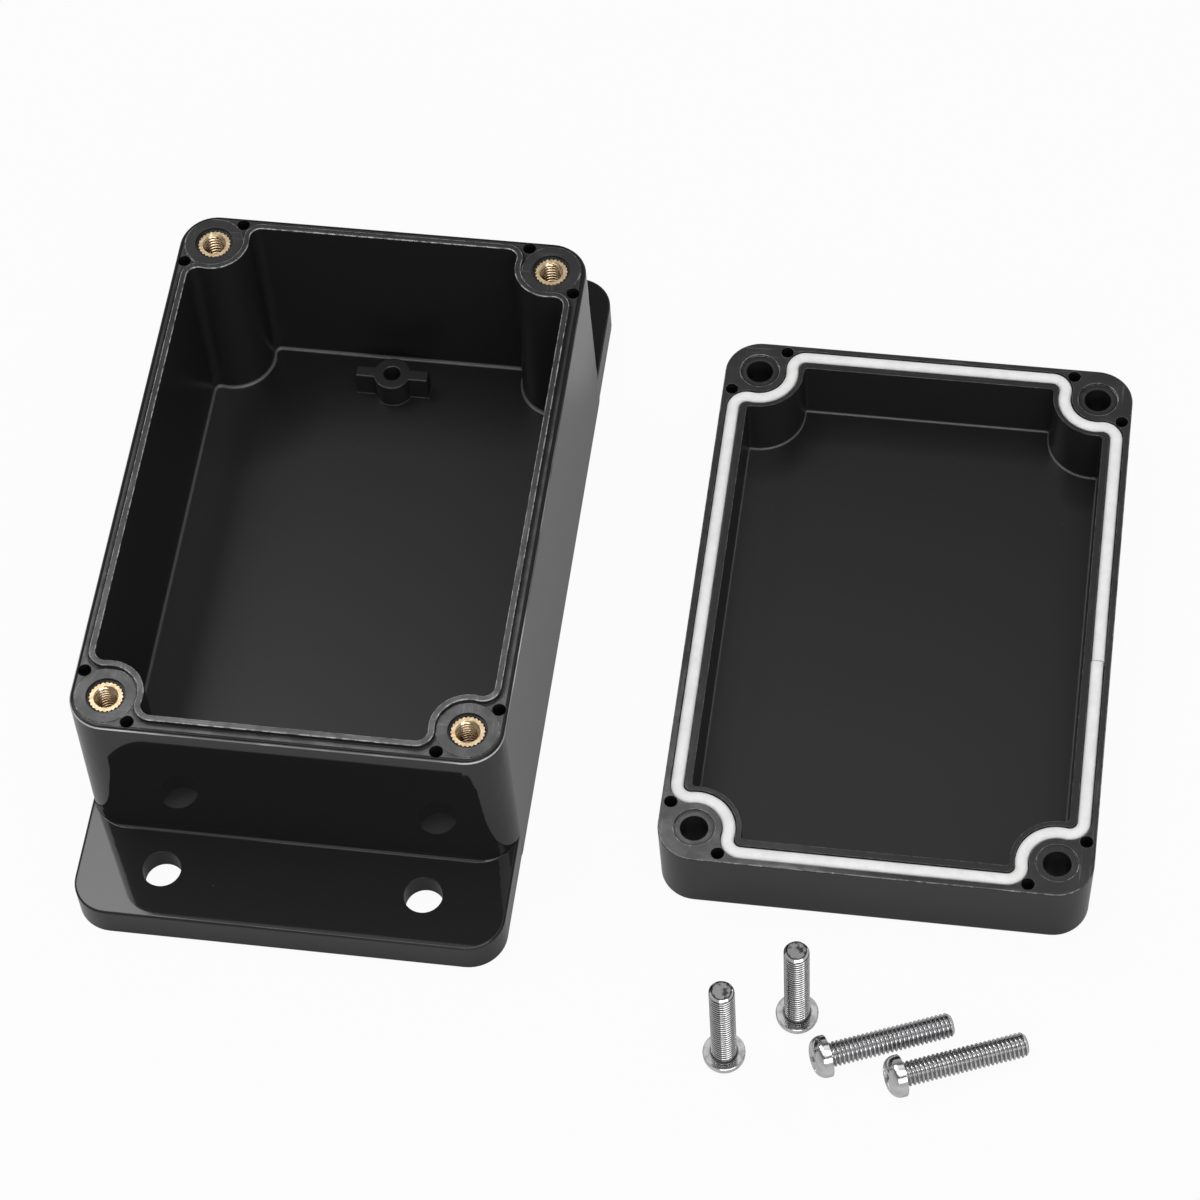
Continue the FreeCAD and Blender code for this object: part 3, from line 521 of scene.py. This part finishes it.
low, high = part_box("insert_front_left")
insert_length = high.z - low.z
insert_pattern = insert_mesh((high.x - low.x) / 2, insert_length)
brass = turned_brass(insert_length)
for corner in INSERT_CORNERS:
    add_piece(f"brass_insert_{corner}", insert_pattern, brass, f"insert_{corner}")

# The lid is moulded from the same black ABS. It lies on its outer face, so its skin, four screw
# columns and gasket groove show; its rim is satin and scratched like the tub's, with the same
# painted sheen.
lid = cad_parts["lid"]
lid_low, lid_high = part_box("lid")
lid_middle = (lid_low + lid_high) / 2
LID_FLOOR_LEVEL = 2.0 * MM
LID_RING_RADIUS = 3.25 * MM
LID_SHEEN_AND_WEAR_REACH = 34 * MM
lid_sheen_and_wear_place = lid_middle - Vector((COLUMN_X, COLUMN_Y, 0))
wear(lid, moulded_abs(
    "black_abs_lid", lid_middle, lid_high.z, LID_FLOOR_LEVEL, 0, rim_reach=0.45 * MM,
    edge_level=lid_high.z - 0.2 * MM, ring_radius=LID_RING_RADIUS,
    sheen_and_wear_place=lid_sheen_and_wear_place, sheen_and_wear_reach=LID_SHEEN_AND_WEAR_REACH, edge_wear_and_glint=0.4, strip_shade=0.75))

# The seal is a soft white cord, cut to length and laid in the lid's groove, where its two ends
# meet on the right side. It stands a little above the rim so that the tub's lip can press on it.
SEAL_HALF_X = 31.85 * MM
SEAL_HALF_Y = 47.85 * MM
SEAL_COLUMN = 5.5 * MM
SEAL_CORNER = 2.3 * MM
SEAL_STEP = 0.8 * MM
SEAL_SIDES = 20
SEAL_SQUASH = 0.96
SEAM_Y = -7.0 * MM
SEAM_GAP = 0.14 * MM
SEAM_OFFSET = 0.12 * MM
SEAM_DRIFT_SHARE = 1 / 40
SEAL_PRESSED = 0.8
SEAL_WHITE = (0.83, 0.83, 0.825, 1)
SEAL_SHADE = (0.75, 0.75, 0.745, 1)


def arc(centre, start, end, step):
    """Points on the shorter arc round a centre from start to end, without the end."""
    one, other = start - centre, end - centre
    turn = math.atan2(one.x * other.y - one.y * other.x, one.dot(other))
    count = max(2, round(abs(turn) * one.length / step))
    points = []
    for index in range(count):
        spin = Matrix.Rotation(turn * index / count, 2)
        points.append(centre + spin @ one)
    return points


def straight(start, end, step):
    """Points on the line from start to end, without the end."""
    count = max(1, round((end - start).length / step))
    return [start.lerp(end, index / count) for index in range(count)]


def seal_path():
    """The closed line of the cord about the lid's middle, once round from the right side."""
    reach = SEAL_COLUMN + SEAL_CORNER
    side_x = SEAL_HALF_X - SEAL_CORNER
    end_y = SEAL_HALF_Y - SEAL_CORNER
    side = Vector((side_x, COLUMN_Y - math.sqrt(reach**2 - (side_x - COLUMN_X)**2)))
    end = Vector((COLUMN_X - math.sqrt(reach**2 - (end_y - COLUMN_Y)**2), end_y))
    column = Vector((COLUMN_X, COLUMN_Y))
    side_join = column + (side - column) * (SEAL_COLUMN / reach)
    end_join = column + (end - column) * (SEAL_COLUMN / reach)
    quarter = [
        (side, Vector((SEAL_HALF_X, side.y)), side_join),
        (column, side_join, end_join),
        (end, end_join, Vector((end.x, SEAL_HALF_Y))),
    ]
    corners = []
    for sign_x, sign_y in ((1, 1), (-1, 1), (-1, -1), (1, -1)):
        flip = Matrix.Diagonal((sign_x, sign_y))
        arcs = [tuple(flip @ point for point in piece) for piece in quarter]
        if sign_x != sign_y:
            arcs = [(centre, last, first) for centre, first, last in reversed(arcs)]
        corners.append(arcs)
    seam = Vector((SEAL_HALF_X, SEAM_Y))
    points = []
    place = seam
    for arcs in corners:
        points += straight(place, arcs[0][1], SEAL_STEP)
        for centre, first, last in arcs:
            points += arc(centre, first, last, SEAL_STEP / 2)
        place = arcs[-1][2]
    return points + straight(place, seam, SEAL_STEP) + [seam]


def squared(share):
    """A circle's sine or cosine, pushed outwards as in a cord that's pressed in a groove."""
    return math.copysign(abs(share)**SEAL_PRESSED, share)


def seal_mesh(radius):
    """The cord: a slightly flattened round section swept once round the groove."""
    path = seal_path()
    rows = []
    for index, point in enumerate(path):
        before, after = path[max(index - 1, 0)], path[min(index + 1, len(path) - 1)]
        heading = (after - before).normalized()
        across = Vector((heading.y, -heading.x))
        share = index / (len(path) - 1)
        leaving = max(0, 1 - share / SEAM_DRIFT_SHARE)
        arriving = max(0, 1 - (1 - share) / SEAM_DRIFT_SHARE)
        drift = SEAM_OFFSET * (leaving - arriving) / 2
        pull = SEAM_GAP / 2 * ((index == 0) - (index == len(path) - 1))
        centre = point + across * drift + heading * pull
        row = []
        for side in range(SEAL_SIDES):
            angle = 2 * math.pi * side / SEAL_SIDES
            side_way, up_way = squared(math.cos(angle)), squared(math.sin(angle))
            flat = centre + across * (radius * SEAL_SQUASH * side_way)
            row.append((flat.x, flat.y, radius * up_way))
        rows.append(row)
    mesh = skin("seal_cord", rows, False)
    smooth_by_angle(mesh, degrees=50)
    return mesh


def soft_seal():
    """White foam rubber, faintly clouded, with fine pores."""
    material = bpy.data.materials.new("soft_white_seal")
    finish = Finish(material)
    cloud = finish.noise(420, 5, 0.6)
    pores = finish.noise(5200, 2, 0.6)
    finish.surface(
        Base_Color=finish.blend(cloud.step(0.3, 0.7), SEAL_SHADE, SEAL_WHITE),
        Roughness=0.62 + 0.15 * cloud,
        Normal=finish.bump(cloud * 0.7 + pores * 0.3, 0.4, 0.03 * MM),
    )
    return material


seal_low, seal_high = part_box("lid_gasket")
seal = seal_mesh((seal_high.z - seal_low.z) / 2)
add_piece("seal_cord", seal, soft_seal(), "lid_gasket")

# Four M4 x 20 pan head machine screws close the lid. They are cold headed with a cross recess,
# thread rolled and plated bright; two stand on their heads and two lie on their sides.
HEAD_HEIGHT = 2.5 * MM
HEAD_SIDE = 0.7 * MM
HEAD_RADIUS = 3.3 * MM
HEAD_CHAMFER = 0.1 * MM
CROWN_RADIUS = 1.9 * MM
SHANK_RADIUS = 1.98 * MM
SCREW_TIP = 0.5 * MM
SCREW_TOTAL = 22.5 * MM
SCREW_THREAD_DEPTH = 0.42 * MM
THREAD_RUNOUT = 0.5 * MM
SCREW_COLUMNS = 64
DOME_STEPS = 8
RECESS_ARM = 1.75 * MM
RECESS_WIDTH = 0.85 * MM
RECESS_FLOOR_ARM = 0.7 * MM
RECESS_FLOOR_WIDTH = 0.5 * MM
RECESS_DEPTH = 1.5 * MM
LYING_HEADING = math.radians(24)
LYING_BASE = SCREW_TOTAL - HEAD_HEIGHT + HEAD_SIDE - SCREW_TIP
LYING_TILT = math.asin((HEAD_RADIUS - SHANK_RADIUS) / LYING_BASE)
SCREW_SPINS = {"standing_left": 0.3, "standing_right": 1.1, "lying_left": 0.5, "lying_right": 0.2}
# How far in from the crest the painted root shade starts, on standing and on lying screws.
STANDING_ROOT = 0.08 * MM
LYING_ROOT = 0.20 * MM
CREST_EDGE = (-0.06 * MM, 0.05 * MM)
SHANK_START = (0, 0.1 * MM)
THREAD_END = (-SCREW_TIP, -0.3 * MM)
CUT_FACE = (-0.04 * MM, -0.01 * MM)
CUT_EDGE = (-0.05 * MM, 0.05 * MM)
CUT_EDGE_HEIGHT = (-0.2 * MM, -0.1 * MM)
RECESS_RIM = (0, 0.1 * MM)
RECESS_START = (0.1 * MM, 0.5 * MM)
COLLAR_HEIGHT = (-0.04 * MM, 0.3 * MM)
COLLAR_REACH = (0.1 * MM, 0.4 * MM)
FLANGE_HEIGHT = (-0.02 * MM, 0.02 * MM)
FLANGE_REACH = (0, 0.3 * MM)
SCREW_BRIGHT = (0.90, 0.90, 0.91, 1)
SCREW_CLOUDED = (0.74, 0.74, 0.75, 1)
# Painted shade in the thread roots: lighter on the lying screws, darker on the standing ones.
SCREW_ROOT_SHADE_GREY = (0.34, 0.34, 0.345, 1)
SCREW_ROOT_SHADE_DARK = (0.05, 0.05, 0.052, 1)
SCREW_FLANGE = (0.40, 0.40, 0.405, 1)
SCREW_CUT = (0.30, 0.30, 0.30, 1)
SCREW_CUT_MARK = (0.06, 0.06, 0.06, 1)


def cross_points(arm, width, height):
    """The twelve corners of a cross, at one height."""
    half = width / 2
    corner = [(arm, -half), (arm, half), (half, half)]
    points = []
    for turn in range(4):
        spin = Matrix.Rotation(math.pi / 2 * turn, 2)
        points += [(*(spin @ Vector(point)), height) for point in corner]
    return points


def screw_mesh():
    """A screw about the Z axis, standing on its crown on the origin."""
    def threaded(height):
        from_end = min(height - HEAD_HEIGHT, SCREW_TOTAL - height)
        depth = SCREW_THREAD_DEPTH * min(1, from_end / THREAD_RUNOUT)
        tip = SHANK_RADIUS - max(0, height - (SCREW_TOTAL - SCREW_TIP))
        return lambda angle: min(
            tip, SHANK_RADIUS - depth * (1 - ridge(height, angle, THREAD_PITCH)))

    rise = HEAD_HEIGHT - HEAD_SIDE
    overhang = HEAD_RADIUS - CROWN_RADIUS
    dome = (overhang**2 + rise**2) / (2 * overhang)
    sweep = math.asin(rise / dome)
    rows = []
    for step in range(DOME_STEPS + 1):
        angle = sweep * (1 - step / DOME_STEPS)
        size = HEAD_RADIUS - dome * (1 - math.cos(angle))
        rows.append(ring(plain(size), rise - dome * math.sin(angle), SCREW_COLUMNS))
    rows.append(ring(plain(HEAD_RADIUS), HEAD_HEIGHT - HEAD_CHAMFER, SCREW_COLUMNS))
    rows.append(ring(plain(HEAD_RADIUS - HEAD_CHAMFER), HEAD_HEIGHT, SCREW_COLUMNS))
    steps = math.ceil((SCREW_TOTAL - HEAD_HEIGHT) / THREAD_PITCH * STEPS_A_TURN)
    for step in range(steps + 1):
        height = HEAD_HEIGHT + (SCREW_TOTAL - HEAD_HEIGHT) * step / steps
        rows.append(ring(threaded(height), height, SCREW_COLUMNS))
    return skin("machine_screw", rows, False)


def recess_mesh():
    """The form that the punch leaves in the crown."""
    above = 0.05
    arm = RECESS_ARM + (RECESS_ARM - RECESS_FLOOR_ARM) * above
    width = RECESS_WIDTH + (RECESS_WIDTH - RECESS_FLOOR_WIDTH) * above
    rows = [cross_points(arm, width, -RECESS_DEPTH * above),
            cross_points(RECESS_FLOOR_ARM, RECESS_FLOOR_WIDTH, RECESS_DEPTH)]
    return skin("cross_recess", rows, False)


def headed_screw():
    """The screw with its recess cut."""
    blank = bpy.data.objects.new("screw_blank", screw_mesh())
    punch = bpy.data.objects.new("screw_punch", recess_mesh())
    for item in (blank, punch):
        bpy.context.scene.collection.objects.link(item)
    cut = blank.modifiers.new("recess", "BOOLEAN")
    cut.operation = "DIFFERENCE"
    cut.solver = "EXACT"
    cut.object = punch
    graph = bpy.context.evaluated_depsgraph_get()
    mesh = bpy.data.meshes.new_from_object(blank.evaluated_get(graph))
    for item in (blank, punch):
        bpy.data.objects.remove(item)
    smooth_by_angle(mesh, degrees=32)
    upright = mesh.attributes.new("upright_place", "FLOAT_VECTOR", "POINT")
    for vertex in mesh.vertices:
        upright.data[vertex.index].vector = vertex.co
    return mesh


def bright_plating(name, root_shade, root_depth):
    """Bright plating with painted shade in the thread's roots, the recess and the collar; the cut
    tip is dull.
    """
    material = bpy.data.materials.new(name)
    finish = Finish(material)
    settings = {"attribute_name": "upright_place"}
    place = finish.node("ShaderNodeAttribute", settings, {}, "Vector")
    x, y, z = place.parts()
    radius = distance(x, y)
    above_head, from_tip, from_shank = z - HEAD_HEIGHT, z - SCREW_TOTAL, radius - SHANK_RADIUS
    shank = above_head.step(*SHANK_START)
    tip = from_tip.step(*CUT_FACE)
    crest = (radius - (SHANK_RADIUS - root_depth)).step(*CREST_EDGE)
    root = shank * (1 - crest) * (1 - from_tip.step(*THREAD_END))
    recess = (1 - (radius - RECESS_ARM).step(*RECESS_RIM)) * (1 - shank)
    recess = recess * z.step(*RECESS_START)
    collar = above_head.between(*COLLAR_HEIGHT, HAIR)
    collar = collar * (1 - from_shank.step(*COLLAR_REACH))
    # Painted shade in the thread's roots, the cross recess and the collar under the head.
    shaded = root.max(recess).max(collar)
    flange = above_head.between(*FLANGE_HEIGHT, 0.02 * MM) * from_shank.step(*FLANGE_REACH)
    cut_edge = (radius - (SHANK_RADIUS - SCREW_TIP)).between(*CUT_EDGE, 0.08 * MM)
    cut_edge = cut_edge * from_tip.step(*CUT_EDGE_HEIGHT)

    cloud = finish.noise(700, 4, 0.6, place)
    tooled = finish.noise(1100, 3, 0.7, place).step(0.50, 0.58)
    colour = finish.blend(cloud.step(0.3, 0.7), SCREW_CLOUDED, SCREW_BRIGHT)
    colour = finish.blend(flange * cloud.step(0.4, 0.6).over(0.5), colour, SCREW_FLANGE)
    colour = finish.blend(shaded * 0.85, colour, root_shade)
    colour = finish.blend(tip, colour, finish.blend(tooled, SCREW_CUT, SCREW_CUT_MARK))
    colour = finish.blend(cut_edge, colour, SCREW_CUT_MARK)
    finish.surface(
        Base_Color=colour,
        Metallic=1.0,
        Roughness=0.1 + 0.08 * cloud + 0.2 * tip + 0.15 * shaded,
        Normal=finish.bump(cloud, 0.1, 0.01 * MM),
    )
    return material


tipped = Matrix.Rotation(math.pi / 2 + LYING_TILT, 4, "Y")
# The standing screws get the darker painted shade in their thread roots.
ways = {
    "standing": (Matrix.Identity(4),
                 bright_plating("bright_plating_standing", SCREW_ROOT_SHADE_DARK, STANDING_ROOT)),
    "lying": (Matrix.Rotation(LYING_HEADING, 4, "Z") @ tipped,
              bright_plating("bright_plating_lying", SCREW_ROOT_SHADE_GREY, LYING_ROOT)),
}
screw_pattern = headed_screw()
for place, spin in SCREW_SPINS.items():
    put_down, plating = ways[place.split("_")[0]]
    screw = screw_pattern.copy()
    screw.transform(put_down @ Matrix.Rotation(spin, 4, "Z"))
    add_piece(f"machine_screw_{place}", screw, plating, f"lid_screw_{place}")

# The pieces are put down on a pale table in a soft studio: one big lamp behind them to the
# left, one in front, one overhead, and a pale room that is dark high on its walls.
TABLE_SIZE = 8.0
TABLE_DIFFUSE = (0.48, 0.48, 0.48, 1)
TABLE_SEEN_WHITE = 0.95
TABLE_MIRRORED_WHITE = 0.06
CAMERA_PLACE = Vector((114.592, -349.651, 556.585)) * MM
CAMERA_AZIMUTH = math.radians(11.862)
CAMERA_ELEVATION = math.radians(56.984)
CAMERA_ROLL = math.radians(-4.727)
CAMERA_LENS = 120
CAMERA_SENSOR = 36
CAMERA_NEAR = 0.01
EAR_FRONT = Vector((-20.0, -58.0, 6.0)) * MM
LAMP_DISTANCE = 1.3
LAMP_LEFT, LAMP_RIGHT = -0.62, -0.115
LAMP_TOP, LAMP_BOTTOM = -0.55, -0.0425
LAMP_RADIANCE = 3.75
WATTS_A_RADIANCE = 4
FRONT_PLACE = Vector((0.45, -1.0, 0.72))
FRONT_WIDTH = 1.4
FRONT_HEIGHT = 0.5
FRONT_RADIANCE = 1.7
OVERHEAD_PLACE = Vector((0.25, -0.27, 1.27))
OVERHEAD_WIDTH = 1.0
OVERHEAD_DEPTH = 0.42
OVERHEAD_RADIANCE = 2.8
ROOM_STOPS = [
    (0.00, (0.45, 0.45, 0.45, 1)),
    (0.40, (0.40, 0.40, 0.40, 1)),
    (0.66, (0.22, 0.22, 0.22, 1)),
    (0.79, (0.05, 0.05, 0.05, 1)),
    (0.806, (0.05, 0.05, 0.05, 1)),
    (0.833, (0.22, 0.22, 0.22, 1)),
    (0.858, (0.68, 0.68, 0.68, 1)),
    (0.871, (1.05, 1.05, 1.05, 1)),
    (1.00, (0.6, 0.6, 0.6, 1)),
]


def light_paths(finish):
    """Whether a surface is seen by the camera, in a mirror, or through something clear."""
    outputs = finish.node("ShaderNodeLightPath", {}, {}).socket.node.outputs
    names = ("Is Camera Ray", "Is Glossy Ray", "Is Transmission Ray")
    return [Wire(finish, outputs[name]) for name in names]


def white_table():
    """Pale card that the camera sees as white, with the shadows that fall on it."""
    material = bpy.data.materials.new("white_table")
    finish = Finish(material)
    camera, glossy, through = light_paths(finish)
    share = (camera + through) * TABLE_SEEN_WHITE + glossy * TABLE_MIRRORED_WHITE
    card = finish.node("ShaderNodeBsdfDiffuse", {}, {"Color": TABLE_DIFFUSE})
    white = finish.node("ShaderNodeEmission", {}, {"Strength": 1.0})
    mixed = finish.node("ShaderNodeMixShader", {}, {0: share, 1: card, 2: white})
    output = finish.tree.nodes["Material Output"]
    finish.put(output.inputs["Surface"], mixed)
    finish.tree.nodes.remove(finish.shader)
    return material


def studio_room():
    """Light from all round; the camera itself sees plain white beyond the table."""
    room = bpy.data.worlds.new("pale_studio")
    finish = Finish(room)
    finish.tree.nodes.clear()
    height = finish.node("ShaderNodeTexCoord", {}, {}, "Generated").parts()[2]
    tone = finish.node("ShaderNodeValToRGB", {"stops": ROOM_STOPS}, {"Fac": height})
    light = finish.node("ShaderNodeBackground", {}, {"Color": tone})
    white = finish.node("ShaderNodeBackground", {}, {"Color": (1, 1, 1, 1)})
    camera = light_paths(finish)[0]
    mixed = finish.node("ShaderNodeMixShader", {}, {0: camera, 1: light, 2: white})
    finish.node("ShaderNodeOutputWorld", {}, {"Surface": mixed}, None)
    return room


table_mesh = bpy.data.meshes.new("table")
half = TABLE_SIZE / 2
table_mesh.from_pydata([(-half, -half, 0), (half, -half, 0), (half, half, 0), (-half, half, 0)],
                       [], [(0, 1, 2, 3)])
table = bpy.data.objects.new("table", table_mesh)
bpy.context.scene.collection.objects.link(table)
table_mesh.materials.append(white_table())
bpy.context.scene.world = studio_room()

back = Vector((math.sin(CAMERA_AZIMUTH) * math.cos(CAMERA_ELEVATION),
               -math.cos(CAMERA_AZIMUTH) * math.cos(CAMERA_ELEVATION),
               math.sin(CAMERA_ELEVATION)))
level = Vector((math.cos(CAMERA_AZIMUTH), math.sin(CAMERA_AZIMUTH), 0))
turn = Matrix((level, back.cross(level), back)).transposed().to_4x4()
turn = turn @ Matrix.Rotation(CAMERA_ROLL, 4, "Z")
camera = bpy.data.objects.new("camera", bpy.data.cameras.new("camera"))
bpy.context.scene.collection.objects.link(camera)
camera.matrix_world = Matrix.Translation(CAMERA_PLACE) @ turn
camera.data.lens = CAMERA_LENS
camera.data.sensor_width = CAMERA_SENSOR
camera.data.clip_start = CAMERA_NEAR
bpy.context.scene.camera = camera


def area_lamp(name, width, length, radiance, place):
    """A rectangular lamp that shines down its own -Z and is as bright as it is asked."""
    data = bpy.data.lights.new(name, "AREA")
    data.shape = "RECTANGLE"
    data.size = width
    data.size_y = length
    data.energy = WATTS_A_RADIANCE * radiance * width * length
    lamp = bpy.data.objects.new(name, data)
    bpy.context.scene.collection.objects.link(lamp)
    lamp.matrix_world = place
    lamp.visible_camera = False


# The left lamp stands square to the view that the camera has in a mirror laid on the front ear,
# so it shows as a light patch at that ear's left end.
flip = Matrix.Diagonal((1, 1, -1, 1))
lamp_turn = flip @ turn @ flip
offset = Vector(((LAMP_LEFT + LAMP_RIGHT) / 2, (LAMP_TOP + LAMP_BOTTOM) / 2, 1)) * LAMP_DISTANCE
lamp_place = Matrix.Translation(EAR_FRONT + lamp_turn.to_3x3() @ offset) @ lamp_turn
area_lamp("left_lamp", (LAMP_RIGHT - LAMP_LEFT) * LAMP_DISTANCE,
          (LAMP_BOTTOM - LAMP_TOP) * LAMP_DISTANCE, LAMP_RADIANCE, lamp_place)
front_aim = FRONT_PLACE.to_track_quat("Z", "Y").to_matrix().to_4x4()
area_lamp("front_lamp", FRONT_WIDTH, FRONT_HEIGHT, FRONT_RADIANCE,
          Matrix.Translation(FRONT_PLACE) @ front_aim)
area_lamp("overhead_lamp", OVERHEAD_WIDTH, OVERHEAD_DEPTH, OVERHEAD_RADIANCE,
          Matrix.Translation(OVERHEAD_PLACE))

bpy.context.scene.view_settings.view_transform = "Standard"
